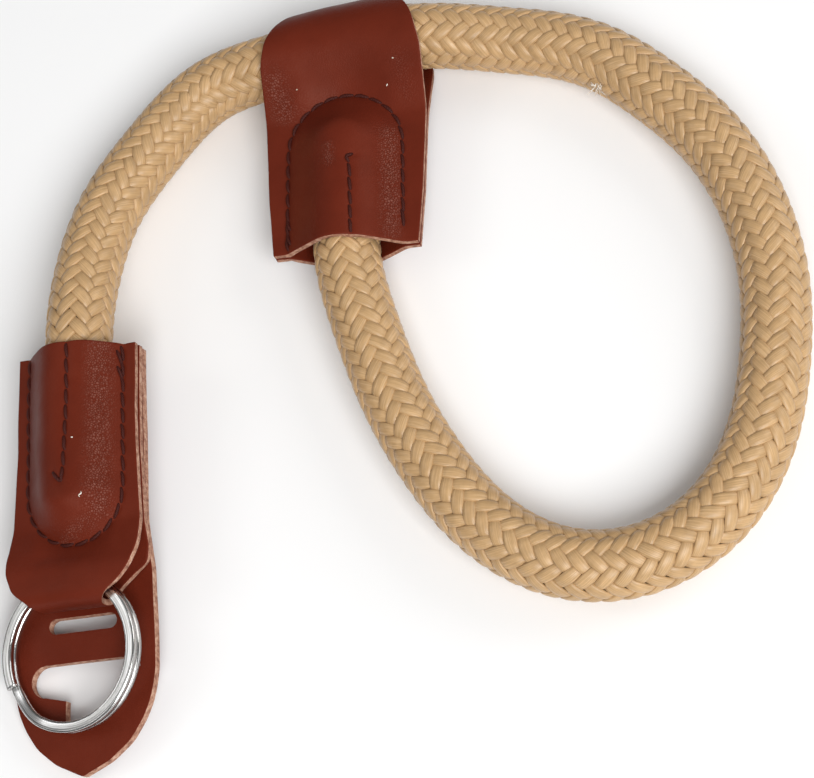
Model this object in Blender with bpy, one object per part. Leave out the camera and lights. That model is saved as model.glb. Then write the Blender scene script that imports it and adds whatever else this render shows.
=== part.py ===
"""Rope hand strap for a camera, lying on a table with its loop closed.

One braided rope runs from the leather end tab, through the eye of the leather slider, round the
wrist loop and back into the slider's pocket. The end tab is a strip folded round a split ring, with
a guard flap sewn behind it. +Z is up, the table is z = 0, and -Y is the end that holds the ring.
"""

import math

import bmesh
import bpy
import numpy as np
from mathutils import Matrix, Vector

MM = 0.001

# Rope
ROPE_DIAMETER = 10.7 * MM
ROPE_STEP = 5.0 * MM
ROPE_IN_ARCH = 0.3 * MM
ROPE_LEAD = 4.0 * MM

# Leather
STRIP_LEATHER = 1.1 * MM
FLAP_LEATHER = 1.4 * MM
FIT_GAP = 0.3 * MM

# Split ring: a flat wire coiled twice
RING_DIAMETER = 24.4 * MM
RING_WIRE_WIDTH = 1.7 * MM
RING_WIRE_THICKNESS = 1.1 * MM
RING_COIL_GAP = 0.1 * MM
RING_WIRE_CHAMFER = 0.2 * MM
RING_END_ANGLE = 25.0
RING_JOG_ANGLE = 20.0

# Slider: the strip folded over the passing rope
SLIDER_WIDTH = 26.4 * MM
SLIDER_STITCH_SPACING = 18.8 * MM
SLIDER_POCKET = 17.6 * MM
SLIDER_EYE_FROM_MOUTH = 37.0 * MM
SLIDER_PLACE = (-8.3 * MM, 17.9 * MM)
SLIDER_TURN = 0.5

# The eye follows the passing rope: its extra room, its turn from the slider's width, and its bend
EYE_ROOM = 0.2 * MM
EYE_TURN = 5.0
EYE_BEND_RADIUS = 85.0 * MM

# End tab: the strip folded round the split ring
TAB_WIDTH = 22.4 * MM
TAB_STITCH_SPACING = 16.6 * MM
TAB_LENGTH = 41.1 * MM
TAB_SEAM_TO_FOLD = 9.5 * MM
TAB_POCKET = TAB_LENGTH - TAB_STITCH_SPACING / 2 - TAB_SEAM_TO_FOLD
TAB_FOLD_ROOM = 0.8 * MM
TAB_FOLD_DEPTH = 1.9 * MM
TAB_FOLD_SQUARENESS = 3.2
TAB_PLACE = (-51.0 * MM, 3.3 * MM, 10.1 * MM)
TAB_TURN = 0.6
TAB_PITCH = 3.0
TAB_ROLL = 9.0

# Where the ring lies in the tab: from the mouth, off the centre line, above the middle plane
RING_FROM_FOLD = 6.4 * MM
RING_OFF_CENTRE = 0.7 * MM
RING_RAISE = -1.0 * MM
RING_PITCH = 5.0
RING_ROLL = 5.5

# Guard flap: sewn behind the tab, free below the fold
FLAP_WIDTH = 24.4 * MM
FLAP_LENGTH = 65.8 * MM
FLAP_DROOP = 1.0
FLAP_GAP = 0.4 * MM
SLOT_LENGTH = 11.8 * MM
SLOT_WIDTH = 2.4 * MM
SLOT_OFF_CENTRE = 0.4 * MM
SLOT_FROM_FOLD = 1.4 * MM
HOOK_WIDTH = 5.0 * MM
HOOK_FROM_SLOT = 8.4 * MM
HOOK_LEFT = 9.2 * MM
HOOK_NOTCH = 3.1 * MM
HOOK_RIGHT = 9.6 * MM
HOOK_DEPTH = 10.0 * MM

# How far round the arch of the seam the two plies start to part, as a share of the arch's radius
PLIES_PART = 0.6

# The free rope, from the tab's mouth to the slider's mouth: x, y, and how far the rope's middle is
# lifted above a rope that lies on the table, all in mm
ROUTE_TAB_TO_EYE = (
    (-50.7, 17.0, 3.9),
    (-47.7, 29.7, 2.5),
    (-41.3, 40.9, 0.9),
    (-32.5, 50.2, 0.3),
)
ROUTE_EYE_TO_SLIDER = (
    (18.6, 53.1, 0.0),
    (31.0, 49.0, 0.0),
    (40.7, 41.4, 0.0),
    (49.1, 31.8, 0.0),
    (54.8, 20.2, 0.0),
    (57.4, 7.6, 0.0),
    (56.9, -5.5, 0.0),
    (54.1, -18.1, 0.0),
    (47.5, -29.0, 0.0),
    (36.6, -35.4, 0.0),
    (23.9, -35.0, 0.0),
    (12.9, -28.2, 0.0),
    (4.8, -17.9, 0.0),
    (-1.2, -6.5, 0.2),
    (-5.6, 6.0, 1.0),
)

# Where the rope's points lie across the eye
EYE_PLACES = (-11.0 * MM, 0.0, 11.0 * MM)

# Half width of a folded strip: distance from the fold as a share of the strip's length from fold to
# mouth, and the share of the full half width there
SLIDER_WAIST = (
    (0.00, 0.50),
    (0.06, 0.58),
    (0.10, 0.70),
    (0.15, 0.83),
    (0.20, 0.92),
    (0.30, 1.00),
    (0.50, 1.00),
    (0.80, 0.95),
    (1.00, 0.89),
)
TAB_FRONT_WAIST = (
    (0.00, 0.48),
    (0.05, 0.60),
    (0.09, 0.81),
    (0.15, 0.95),
    (0.21, 1.00),
    (0.30, 0.99),
    (0.45, 0.96),
    (0.62, 0.93),
    (1.00, 0.92),
)
TAB_BACK_WAIST = (
    (0.00, 0.48),
    (0.09, 0.58),
    (0.14, 0.74),
    (0.18, 0.97),
    (0.24, 1.00),
    (0.30, 0.99),
    (0.45, 0.96),
    (0.62, 0.93),
    (1.00, 0.92),
)
# Half width of the flap: distance from the mouth as a share of the flap's length, share of half width
FLAP_OUTLINE = (
    (0.00, 0.84),
    (0.35, 0.91),
    (0.52, 0.94),
    (0.60, 0.96),
    (0.70, 0.99),
    (0.77, 1.00),
    (0.81, 0.97),
    (0.845, 0.92),
    (0.885, 0.82),
    (0.93, 0.65),
    (0.97, 0.38),
    (1.00, 0.02),
)

# Columns of a strip's mesh on one side of its middle line, as shares of the round part over the rope,
# of the slope down to the seam, and of the margin outside the seam
ROUND_COLUMNS = (0.0, 0.4, 0.78)
SLOPE_COLUMNS = (0.0, 0.35, 0.7)
MARGIN_COLUMNS = (0.0, 0.5, 1.0)
LEAST_MARGIN = 1.2

POCKET_ROWS = 3
ARCH_ROWS = 4
PARTING_ROWS = 2
LEAN_ROWS = 3
ROUND_ROWS = 7
FLAP_FREE_ROWS = 14
RING_SEGMENTS = 84

ROPE_COLOUR = (0.42, 0.29, 0.13)
LEATHER_COLOUR = (0.13, 0.022, 0.013)
STEEL_COLOUR = (0.62, 0.61, 0.58)


def clear_scene():
    for obj in list(bpy.data.objects):
        bpy.data.objects.remove(obj, do_unlink=True)


def make_material(name, colour, roughness, metallic=0.0):
    material = bpy.data.materials.new(name)
    material.use_nodes = True
    shader = material.node_tree.nodes["Principled BSDF"]
    shader.inputs["Base Color"].default_value = (*colour, 1.0)
    shader.inputs["Roughness"].default_value = roughness
    shader.inputs["Metallic"].default_value = metallic
    return material


def add_object(name, data, material=None, parent=None):
    obj = bpy.data.objects.new(name, data)
    bpy.context.scene.collection.objects.link(obj)
    if material:
        data.materials.append(material)
    obj.parent = parent
    return obj


def mesh_from_grid(name, grid):
    """A quad mesh through a grid of points, rows by columns."""
    rows, columns = grid.shape[:2]
    faces = []
    for row in range(rows - 1):
        for column in range(columns - 1):
            corner = row * columns + column
            faces.append((corner, corner + 1, corner + columns + 1, corner + columns))
    mesh = bpy.data.meshes.new(name)
    mesh.from_pydata([tuple(point) for point in grid.reshape(-1, 3)], [], faces)
    return mesh


def thicken(obj, thickness):
    wall = obj.modifiers.new("wall", "SOLIDIFY")
    wall.thickness = thickness
    wall.offset = 0.0
    wall.use_even_offset = True


def share_at(rows, distance):
    """The second column of a table of shares, read between its rows."""
    table = np.array(rows)
    return float(np.interp(distance, table[:, 0], table[:, 1]))


class FoldedStrip:
    """The middle surface of a strip folded over at +Y, with a sewn rope pocket open at y = 0.

    The front ply is at +z and the back ply at -z. `behind` moves the surface outwards, for a piece
    that lies against the back ply.
    """

    def __init__(
        self, width, stitch_spacing, pocket, fold_y, fold_radius, fold_room, squareness, turn, bend
    ):
        self.half_width = width / 2
        self.stitch = stitch_spacing / 2
        self.pocket = pocket
        self.fold_y = fold_y
        self.fold_radius = fold_radius
        self.fold_room = fold_room
        self.squareness = squareness
        self.turn = math.tan(math.radians(turn))
        self.bend = bend
        self.flat = (STRIP_LEATHER + FIT_GAP) / 2
        self.bulge = (ROPE_DIAMETER + STRIP_LEATHER) / 2 + FIT_GAP
        reach = math.hypot(self.stitch, self.flat)
        self.slope = math.asin(self.bulge / reach) - math.atan2(self.flat, self.stitch)

    def seam(self, behind):
        """Half the width inside the seam's crease, for a surface this far behind the ply."""
        return self.stitch + behind * math.tan(self.slope / 2)

    def columns(self, behind=0.0):
        """Where the lengthwise sections lie: over the rope, down the slope, and across the margin.

        Each is (distance from the middle inside the seam, share of the margin outside it).
        """
        round_end = (self.bulge + behind) * math.sin(self.slope)
        seam = self.seam(behind)
        inner = [round_end * share for share in ROUND_COLUMNS]
        inner += [round_end + (seam - round_end) * share for share in SLOPE_COLUMNS]
        half = [(place, 0.0) for place in inner] + [(seam, share) for share in MARGIN_COLUMNS]
        return [(-place, share) for place, share in half[:0:-1]] + half

    def pocket_height(self, x, y, behind):
        """Height of the ply over the rope: round above it, straight down to the seam, then flat."""
        flat = self.flat + behind
        bulge = self.bulge + behind
        seam = self.seam(behind)
        rise = math.tan(self.slope)
        if abs(x) < bulge * math.sin(self.slope):
            over_rope = math.sqrt(bulge**2 - x**2)
        else:
            over_rope = flat + rise * max(seam - abs(x), 0.0)
        inside = seam - math.hypot(x, max(y - self.pocket, 0.0))
        return min(over_rope, flat + rise * max(inside, 0.0))

    def parting(self, share, behind):
        """Where the ply leaves its neighbour to go round the fold: (y, z, angle of its slope).

        `share` is the column's place between the middle and the seam. Seen from outside this is a
        valley, so a surface that lies behind it turns its corner a little higher.
        """
        arch = math.sqrt(1.0 - share**2)
        meets = self.pocket + max(arch, PLIES_PART) * self.stitch
        near = self.fold_y - self.fold_room
        reach = math.hypot(near - meets, self.flat)
        up = math.asin(self.fold_radius / reach) - math.atan2(self.flat, near - meets)
        down = math.atan(arch * math.tan(self.slope)) if arch > PLIES_PART else 0.0
        along = (1 / math.cos(down) - 1 / math.cos(up)) / (math.tan(down) + math.tan(up))
        rise = along * math.tan(up) + 1 / math.cos(up)
        return meets + along * behind, self.flat + rise * behind, up

    def section(self, x, behind=0.0):
        """One lengthwise section as (y, z) points, from the mouth to the fold's outermost point."""
        seam = self.seam(behind)
        flat = self.flat + behind
        radius = self.fold_radius + behind
        near = self.fold_y - self.fold_room
        x = min(abs(x), seam)
        # The pocket's round end starts to fall here, and the plies part behind it.
        over_rope = self.pocket_height(x, 0.0, behind)
        level = seam - (over_rope - flat) / math.tan(self.slope)
        falls = self.pocket + math.sqrt(max(level**2 - x**2, 0.0))
        meets, valley, lean = self.parting(x / seam, behind)
        points = []
        for row in range(POCKET_ROWS):
            points.append((self.pocket * row / POCKET_ROWS, over_rope))
        for row in range(ARCH_ROWS):
            y = falls + (meets - falls) * row / ARCH_ROWS
            points.append((y, max(self.pocket_height(x, y, behind), valley)))
        touch = (near - radius * math.sin(lean), radius * math.cos(lean))
        for row in range(PARTING_ROWS):
            along = row / PARTING_ROWS
            y = meets + (touch[0] - meets) * along
            points.append((y, valley + (touch[1] - valley) * along))
        for row in range(LEAN_ROWS + 1):
            turn = lean * (row / LEAN_ROWS - 1.0)
            points.append((near + radius * math.sin(turn), radius * math.cos(turn)))
        for row in range(0 if self.fold_room else 1, ROUND_ROWS + 1):
            turn = math.pi / 2 * row / ROUND_ROWS
            out = math.sin(turn) ** (2 / self.squareness)
            up = max(math.cos(turn), 0.0) ** (2 / self.squareness)
            points.append((self.fold_y + radius * out, radius * up))
        return points

    def from_fold(self, y):
        """How far along the leather this y is from the fold's outermost line, as a share."""
        past = min(max(y - self.fold_y, 0.0) / self.fold_radius, 1.0)
        length = self.fold_radius * (math.pi / 2 - math.asin(past)) + max(self.fold_y - y, 0.0)
        return length / (self.fold_y + self.fold_radius * math.pi / 2)

    def across(self, column, half_width):
        """The x of a column where the strip is this wide: the margin narrows first, then the rest."""
        place, share = column
        side = math.copysign(1.0, place)
        seam = abs(place) if share else self.stitch
        squeeze = min(half_width / (LEAST_MARGIN * seam), 1.0)
        return side * (abs(place) * squeeze + share * (half_width - seam * squeeze))

    def fold_shift(self, x, y):
        """How far the fold's axis lies from fold_y at this x: it follows a rope that goes through."""
        start = self.pocket + self.stitch
        share = min(max((y - start) / (self.fold_y - self.fold_room - start), 0.0), 1.0)
        return share * (self.turn * x - self.bend * x**2 / 2)

    def surface(self, waist, behind=0.0):
        """Rows of points from the mouth to the fold, on the front side."""
        lines = []
        for column in self.columns(behind):
            line = []
            for y, z in self.section(column[0], behind):
                half_width = self.half_width * share_at(waist, self.from_fold(y))
                x = self.across(column, half_width)
                line.append((x, y + self.fold_shift(x, y), z))
            lines.append(line)
        return np.array(lines).transpose(1, 0, 2)

    def folded(self, front_waist, back_waist):
        """The whole folded strip, from the front ply's mouth round the fold to the back ply's."""
        front = self.surface(front_waist)
        back = self.surface(back_waist)[::-1] * (1.0, 1.0, -1.0)
        return np.concatenate([front[:-1], back])


def add_strip(name, strip, waists, frame, material):
    obj = add_object(name, mesh_from_grid(name, strip.folded(*waists)), material, frame)
    thicken(obj, STRIP_LEATHER)
    return obj


def slider_strip():
    radius = (ROPE_DIAMETER + STRIP_LEATHER) / 2 + FIT_GAP + EYE_ROOM
    return FoldedStrip(
        SLIDER_WIDTH,
        SLIDER_STITCH_SPACING,
        SLIDER_POCKET,
        SLIDER_EYE_FROM_MOUTH,
        radius,
        0.0,
        2.0,
        EYE_TURN,
        1 / EYE_BEND_RADIUS,
    )


def ring_height():
    return 2 * RING_WIRE_THICKNESS + RING_COIL_GAP


def tab_strip():
    radius = ring_height() / 2 + TAB_FOLD_ROOM + FIT_GAP + STRIP_LEATHER / 2
    fold_y = TAB_LENGTH - radius - STRIP_LEATHER / 2
    return FoldedStrip(
        TAB_WIDTH,
        TAB_STITCH_SPACING,
        TAB_POCKET,
        fold_y,
        radius,
        TAB_FOLD_DEPTH,
        TAB_FOLD_SQUARENESS,
        0.0,
        0.0,
    )


def empty_frame(name, place, angles, order="YXZ"):
    frame = add_object(name, None)
    frame.location = place
    frame.rotation_mode = order
    frame.rotation_euler = [math.radians(angle) for angle in angles]
    return frame


def add_slider(material):
    strip = slider_strip()
    height = strip.fold_radius + STRIP_LEATHER / 2
    frame = empty_frame("slider_frame", (*SLIDER_PLACE, height), (0.0, 0.0, SLIDER_TURN))
    waists = (SLIDER_WAIST, SLIDER_WAIST)
    add_strip("slider_leather", strip, waists, frame, material)
    return frame, strip


def add_tab(material):
    strip = tab_strip()
    angles = (-TAB_PITCH, TAB_ROLL, 180.0 + TAB_TURN)
    frame = empty_frame("tab_frame", TAB_PLACE, angles)
    waists = (TAB_FRONT_WAIST, TAB_BACK_WAIST)
    add_strip("tab_leather", strip, waists, frame, material)
    return frame, strip


def prism(name, outline, low, high, parent):
    """A closed upright prism over an outline of (x, y) points, used as a cutter."""
    bm = bmesh.new()
    face = bm.faces.new([bm.verts.new((x, y, low)) for x, y in outline])
    top = bmesh.ops.extrude_face_region(bm, geom=[face])["geom"]
    moved = [item for item in top if isinstance(item, bmesh.types.BMVert)]
    bmesh.ops.translate(bm, verts=moved, vec=(0.0, 0.0, high - low))
    bmesh.ops.recalc_face_normals(bm, faces=bm.faces)
    mesh = bpy.data.meshes.new(name)
    bm.to_mesh(mesh)
    bm.free()
    obj = add_object(name, mesh, None, parent)
    obj.hide_render = True
    obj.display_type = "WIRE"
    return obj


def arc(centre, radius, start, end, steps):
    """Points on an arc, angles in degrees."""
    angles = np.radians(np.linspace(start, end, steps + 1))
    return [(centre[0] + radius * math.cos(a), centre[1] + radius * math.sin(a)) for a in angles]


def slot_outline(middle_y):
    radius = SLOT_WIDTH / 2
    reach = SLOT_LENGTH / 2 - radius
    left = arc((SLOT_OFF_CENTRE + reach, middle_y), radius, -90, 90, 6)
    right = arc((SLOT_OFF_CENTRE - reach, middle_y), radius, 90, 270, 6)
    return left + right


def hook_outline(top_y):
    """The hook cut-out: a round-ended slot that opens on one side into a deeper bay.

    The local x runs towards the round end, which is the slot's left in the photograph.
    """
    radius = HOOK_WIDTH / 2
    corner = HOOK_WIDTH / 3
    bay = HOOK_RIGHT
    round_end = arc((HOOK_LEFT - radius, top_y + radius), radius, -90, 90, 8)
    notch = [(HOOK_NOTCH, top_y + HOOK_WIDTH + corner / 2), (HOOK_NOTCH, top_y + HOOK_DEPTH)]
    sweep_radius = HOOK_DEPTH - corner
    sweep = arc((corner - bay + sweep_radius, top_y + corner), sweep_radius, 90, 180, 8)
    far_corner = arc((corner - bay, top_y + corner), corner, 180, 270, 3)
    return round_end + notch + sweep[:-1] + far_corner


def add_flap(strip, frame, material):
    """The guard flap: follows the back ply to the fold, then runs on flat to its pointed end."""
    behind = (STRIP_LEATHER + FLAP_LEATHER) / 2 + FLAP_GAP
    droop = math.tan(math.radians(FLAP_DROOP))
    start = strip.fold_y - strip.fold_room
    level = strip.fold_radius + behind
    lines = []
    for column in strip.columns(behind):
        section = [(y, z) for y, z in strip.section(column[0], behind) if y <= start + 1e-9]
        for step in range(1, FLAP_FREE_ROWS + 1):
            # Rows are closer together towards the pointed end.
            along = math.sin(math.pi / 2 * step / FLAP_FREE_ROWS)
            y = start + (FLAP_LENGTH - start) * along
            section.append((y, level + droop * (y - start)))
        line = []
        for y, z in section:
            half_width = FLAP_WIDTH / 2 * share_at(FLAP_OUTLINE, y / FLAP_LENGTH)
            line.append((strip.across(column, half_width), y, -z))
        lines.append(line)
    grid = np.array(lines).transpose(1, 0, 2)
    flap = add_object("guard_flap", mesh_from_grid("guard_flap", grid), material, frame)
    thicken(flap, FLAP_LEATHER)
    slot_y = TAB_LENGTH + SLOT_FROM_FOLD
    deep = strip.fold_radius + behind + FLAP_LENGTH * droop + FLAP_LEATHER
    cuts = {
        "slot_cutter": slot_outline(slot_y),
        "hook_cutter": hook_outline(slot_y + HOOK_FROM_SLOT - HOOK_WIDTH / 2),
    }
    for name, outline in cuts.items():
        cut = flap.modifiers.new(name, "BOOLEAN")
        cut.operation = "DIFFERENCE"
        cut.object = prism(name, outline, -deep - FLAP_LEATHER, 0.0, frame)


def add_ring(strip, frame, material):
    """Two turns of flat wire in one piece, which step from one level to the other at one place."""
    middle = (RING_DIAMETER - RING_WIRE_WIDTH) / 2
    level = (RING_WIRE_THICKNESS + RING_COIL_GAP) / 2
    half_width, half_height = RING_WIRE_WIDTH / 2, RING_WIRE_THICKNESS / 2
    cut = RING_WIRE_CHAMFER
    profile = [
        (half_width, half_height - cut),
        (half_width - cut, half_height),
        (cut - half_width, half_height),
        (-half_width, half_height - cut),
        (-half_width, cut - half_height),
        (cut - half_width, -half_height),
        (half_width - cut, -half_height),
        (half_width, cut - half_height),
    ]
    start, end = RING_END_ANGLE, 720.0 - RING_END_ANGLE
    bm = bmesh.new()
    loops = []
    for step in range(RING_SEGMENTS + 1):
        degrees = start + (end - start) * step / RING_SEGMENTS
        across = min(max((degrees - 360.0) / RING_JOG_ANGLE, -1.0), 1.0)
        z = level * math.sin(across * math.pi / 2)
        angle = math.radians(degrees)
        loops.append(
            [
                bm.verts.new(
                    ((middle + out) * math.cos(angle), (middle + out) * math.sin(angle), z + up)
                )
                for out, up in profile
            ]
        )
    sides = len(profile)
    for first, second in zip(loops, loops[1:]):
        for side in range(sides):
            after = (side + 1) % sides
            bm.faces.new((first[side], first[after], second[after], second[side]))
    bm.faces.new(loops[0][::-1])
    bm.faces.new(loops[-1])
    bmesh.ops.recalc_face_normals(bm, faces=bm.faces)
    mesh = bpy.data.meshes.new("split_ring")
    bm.to_mesh(mesh)
    bm.free()
    ring = add_object("split_ring", mesh, material, frame)
    ring.location = (RING_OFF_CENTRE, TAB_LENGTH + RING_FROM_FOLD, RING_RAISE)
    ring.rotation_euler = (math.radians(-RING_PITCH), math.radians(RING_ROLL), 0.0)
    return ring


def smooth_curve(points, step):
    """Evenly spaced points on a natural cubic spline through the given points."""
    points = np.array(points)
    knots = np.concatenate([[0.0], np.cumsum(np.linalg.norm(np.diff(points, axis=0), axis=1))])
    spans = np.diff(knots)
    count = len(points)
    system = np.eye(count)
    turns = np.zeros((count, 3))
    for i in range(1, count - 1):
        system[i, i - 1 : i + 2] = spans[i - 1], 2 * (spans[i - 1] + spans[i]), spans[i]
        before = (points[i] - points[i - 1]) / spans[i - 1]
        after = (points[i + 1] - points[i]) / spans[i]
        turns[i] = 6 * (after - before)
    bends = np.linalg.solve(system, turns)
    fine = []
    for i, span in enumerate(spans):
        for share in np.linspace(0.0, 1.0, 24, endpoint=False):
            a, b = 1.0 - share, share
            pull = (a**3 - a) * bends[i] + (b**3 - b) * bends[i + 1]
            fine.append(a * points[i] + b * points[i + 1] + pull * span**2 / 6)
    fine = np.array(fine + [points[-1]])
    along = np.concatenate([[0.0], np.cumsum(np.linalg.norm(np.diff(fine, axis=0), axis=1))])
    stops = np.linspace(0.0, along[-1], round(along[-1] / step) + 1)
    return np.stack([np.interp(stops, along, fine[:, axis]) for axis in range(3)], axis=1)


def frame_points(frame, places):
    """World coordinates of (x, y) points in the frame's own level plane."""
    rotation = frame.rotation_euler.to_matrix().to_4x4()
    matrix = Matrix.Translation(frame.location) @ rotation
    return [tuple(matrix @ Vector((x, y, 0.0))) for x, y in places]


def rope_points(tab_frame, slider_frame, slider):
    """The rope's middle line from its end in the tab to its end in the slider."""

    def lying(rows):
        return [(x * MM, y * MM, ROPE_DIAMETER / 2 + lift * MM) for x, y, lift in rows]

    def straight(frame, end):
        places = [(0.0, y) for y in np.linspace(end, 0.0, 4)] + [(0.0, -ROPE_LEAD)]
        return frame_points(frame, places)

    in_eye = [(x, slider.fold_y + slider.fold_shift(x, slider.fold_y)) for x in EYE_PLACES]
    return (
        straight(tab_frame, TAB_POCKET + ROPE_IN_ARCH)
        + lying(ROUTE_TAB_TO_EYE)
        + frame_points(slider_frame, in_eye)
        + lying(ROUTE_EYE_TO_SLIDER)
        + straight(slider_frame, SLIDER_POCKET + ROPE_IN_ARCH)[-2::-1]
    )


def add_rope(tab_frame, slider_frame, slider, material):
    points = smooth_curve(rope_points(tab_frame, slider_frame, slider), ROPE_STEP)
    points[:, 2] = np.maximum(points[:, 2], ROPE_DIAMETER / 2)
    curve = bpy.data.curves.new("rope", "CURVE")
    curve.dimensions = "3D"
    curve.bevel_depth = ROPE_DIAMETER / 2
    curve.bevel_resolution = 4
    curve.use_fill_caps = True
    spline = curve.splines.new("POLY")
    spline.points.add(len(points) - 1)
    for point, place in zip(spline.points, points):
        point.co = (*place, 1.0)
    return add_object("rope", curve, material)


def main():
    clear_scene()
    rope_material = make_material("rope_braid", ROPE_COLOUR, 0.6)
    leather_material = make_material("brown_leather", LEATHER_COLOUR, 0.45)
    steel_material = make_material("nickel_steel", STEEL_COLOUR, 0.25, 1.0)
    slider_frame, slider = add_slider(leather_material)
    tab_frame, strip = add_tab(leather_material)
    add_flap(strip, tab_frame, leather_material)
    add_ring(strip, tab_frame, steel_material)
    add_rope(tab_frame, slider_frame, slider, rope_material)
    for obj in bpy.context.scene.objects:
        if obj.type == "MESH" and not obj.hide_render:
            obj.data.shade_smooth()
            obj.data.set_sharp_from_angle(angle=math.radians(40))


main()
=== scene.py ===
"""Looks of a rope hand strap for a camera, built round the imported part."""

import math

import bpy
import numpy as np
from mathutils import Euler, Matrix, Vector
from mathutils.bvhtree import BVHTree


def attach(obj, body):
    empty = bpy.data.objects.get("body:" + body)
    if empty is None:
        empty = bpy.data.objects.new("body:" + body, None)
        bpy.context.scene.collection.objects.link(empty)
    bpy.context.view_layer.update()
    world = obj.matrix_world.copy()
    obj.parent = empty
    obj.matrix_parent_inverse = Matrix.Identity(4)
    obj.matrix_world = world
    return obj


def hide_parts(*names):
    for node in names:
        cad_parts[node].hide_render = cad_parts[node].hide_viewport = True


bl_info = {
    "name": "Rope Hand Strap",
    "version": (1, 0, 0),
    "blender": (4, 5, 0),
    "location": "3D View > Sidebar > Hand Strap",
    "description": "Dresses a rope hand strap with its braid, leather, thread, split ring and studio",
    "category": "Object",
}

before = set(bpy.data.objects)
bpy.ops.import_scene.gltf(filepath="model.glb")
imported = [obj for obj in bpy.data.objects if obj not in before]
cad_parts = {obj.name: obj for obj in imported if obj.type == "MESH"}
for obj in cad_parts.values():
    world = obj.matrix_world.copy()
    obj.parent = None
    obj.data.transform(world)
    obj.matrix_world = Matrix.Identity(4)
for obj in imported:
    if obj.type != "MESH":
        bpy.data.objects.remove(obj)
MM = 0.001

# Places of the two leather pieces: x, y, z in metres, then the turns about x, y and z in degrees
TAB_PLACE = (-0.051, 0.0033, 0.0101)
TAB_ANGLES = (-3.0, 9.0, 180.6)
SLIDER_PLACE = (-0.0083, 0.0179, 0.00695)
SLIDER_ANGLES = (0.0, 0.0, 0.5)
# The split ring's place and turns in the tab's own frame, in the same units
RING_PLACE = (0.0007, 0.0475, -0.001)
RING_ANGLES = (-5.0, 5.5, 0.0)

# Split ring, in metres: its outer size, its flat wire, the round of the wire and the gap in the coil
RING_DIAMETER = 0.0244
RING_WIRE_WIDTH = 0.0017
RING_WIRE_THICKNESS = 0.0011
RING_WIRE_ROUND = 0.00036
RING_COIL_GAP = 0.0001
# Where its wire starts and ends, where it steps from one turn to the other, and how far that step
# reaches to either side, in degrees
RING_START, RING_END = 72.0, 742.0
RING_STEP, RING_STEP_REACH = 407.0, 20.0
RING_SEGMENTS = 420

# Leather, in metres: the gap between pieces that touch, the room in the eye and in the tab's fold,
# and the sizes of the tab and the flap
FIT_GAP = 0.0003
EYE_ROOM = 0.0005
TAB_FOLD_ROOM = 0.0008
TAB_LENGTH = 0.0411
FLAP_GAP = 0.0004
FLAP_LENGTH = 0.0658
FLAP_HALF_WIDTH = 0.0122
FLAP_DROOP_DEGREES = 1.0
# The flap's slot: half its width, half its straight part, its shift aside and its distance from the mouth
SLOT_RADIUS, SLOT_REACH, SLOT_SHIFT, SLOT_Y = 0.0012, 0.0047, 0.0004, 0.0425
# Its hook cut-out: width, depth and distance past the slot, then how far it reaches to either side
HOOK_WIDTH, HOOK_DEPTH, HOOK_PAST_SLOT = 0.005, 0.010, 0.0084
HOOK_LEFT, HOOK_NOTCH, HOOK_RIGHT = 0.0092, 0.0031, 0.0096
PUNCH_DEPTH = 0.016

# How far past the pocket the plies part at the least, as a share of its arch, and the least half width
# of a strip, as a share of its seam's distance from the middle
PLIES_PART = 0.6
LEAST_MARGIN = 1.2

# Braid: points on one wave of a strand, points round a strand, how far it swings, in metres
WAVE_POINTS = 11
STRAND_SIDES = 10
STRAND_SWING = 0.00032
# The core inside it: points along it, and how far it stays under the rope's surface, in metres
CORE_POINTS = 69
CORE_INSET = 0.0009

# The rope's free route: x, y and the lift of its middle over a rope on the table, in mm
ROUTE_TAB_TO_EYE = (
    (-50.7, 17.0, 3.9), (-47.7, 29.7, 2.5), (-41.3, 40.9, 0.9), (-32.5, 50.2, 0.3),
)
ROUTE_EYE_TO_SLIDER = (
    (18.6, 53.1, 0.0), (31.0, 49.0, 0.0), (40.7, 41.4, 0.0), (49.1, 31.8, 0.0),
    (54.8, 20.2, 0.0), (57.4, 7.6, 0.0), (56.9, -5.5, 0.0), (54.1, -18.1, 0.0),
    (47.5, -29.0, 0.0), (36.6, -35.4, 0.0), (23.9, -35.0, 0.0), (12.9, -28.2, 0.0),
    (4.8, -17.9, 0.0), (-1.2, -6.5, 0.2), (-5.6, 6.0, 1.0),
)
# Where the rope crosses the slider's eye, how far it runs on straight out of the tab, and how far
# each of its ends stands in the arch of its pocket, in mm
EYE_PLACES = (-11.0, 0.0, 11.0)
ROPE_LEAD = 4.0
ROPE_IN_ARCH = 0.3

# Half widths: distance from the fold as a share of the strip's length, share of the half width
SLIDER_WAIST = (
    (0.00, 0.50), (0.06, 0.58), (0.10, 0.70), (0.15, 0.83), (0.20, 0.92), (0.30, 1.00),
    (0.50, 1.00), (0.80, 0.95), (1.00, 0.89),
)
TAB_FRONT_WAIST = (
    (0.00, 0.48), (0.05, 0.60), (0.09, 0.81), (0.15, 0.95), (0.21, 1.00), (0.30, 0.99),
    (0.45, 0.96), (0.62, 0.93), (1.00, 0.92),
)
TAB_BACK_WAIST = (
    (0.00, 0.48), (0.09, 0.58), (0.14, 0.74), (0.18, 0.97), (0.24, 1.00), *TAB_FRONT_WAIST[-4:],
)
# The flap: distance from the mouth as a share of its length, share of its half width
FLAP_OUTLINE = (
    (0.00, 0.84), (0.35, 0.91), (0.52, 0.94), (0.60, 0.96), (0.70, 0.99), (0.77, 1.00),
    (0.81, 0.97), (0.845, 0.92), (0.885, 0.82), (0.93, 0.65), (0.97, 0.38), (1.00, 0.02),
)

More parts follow.
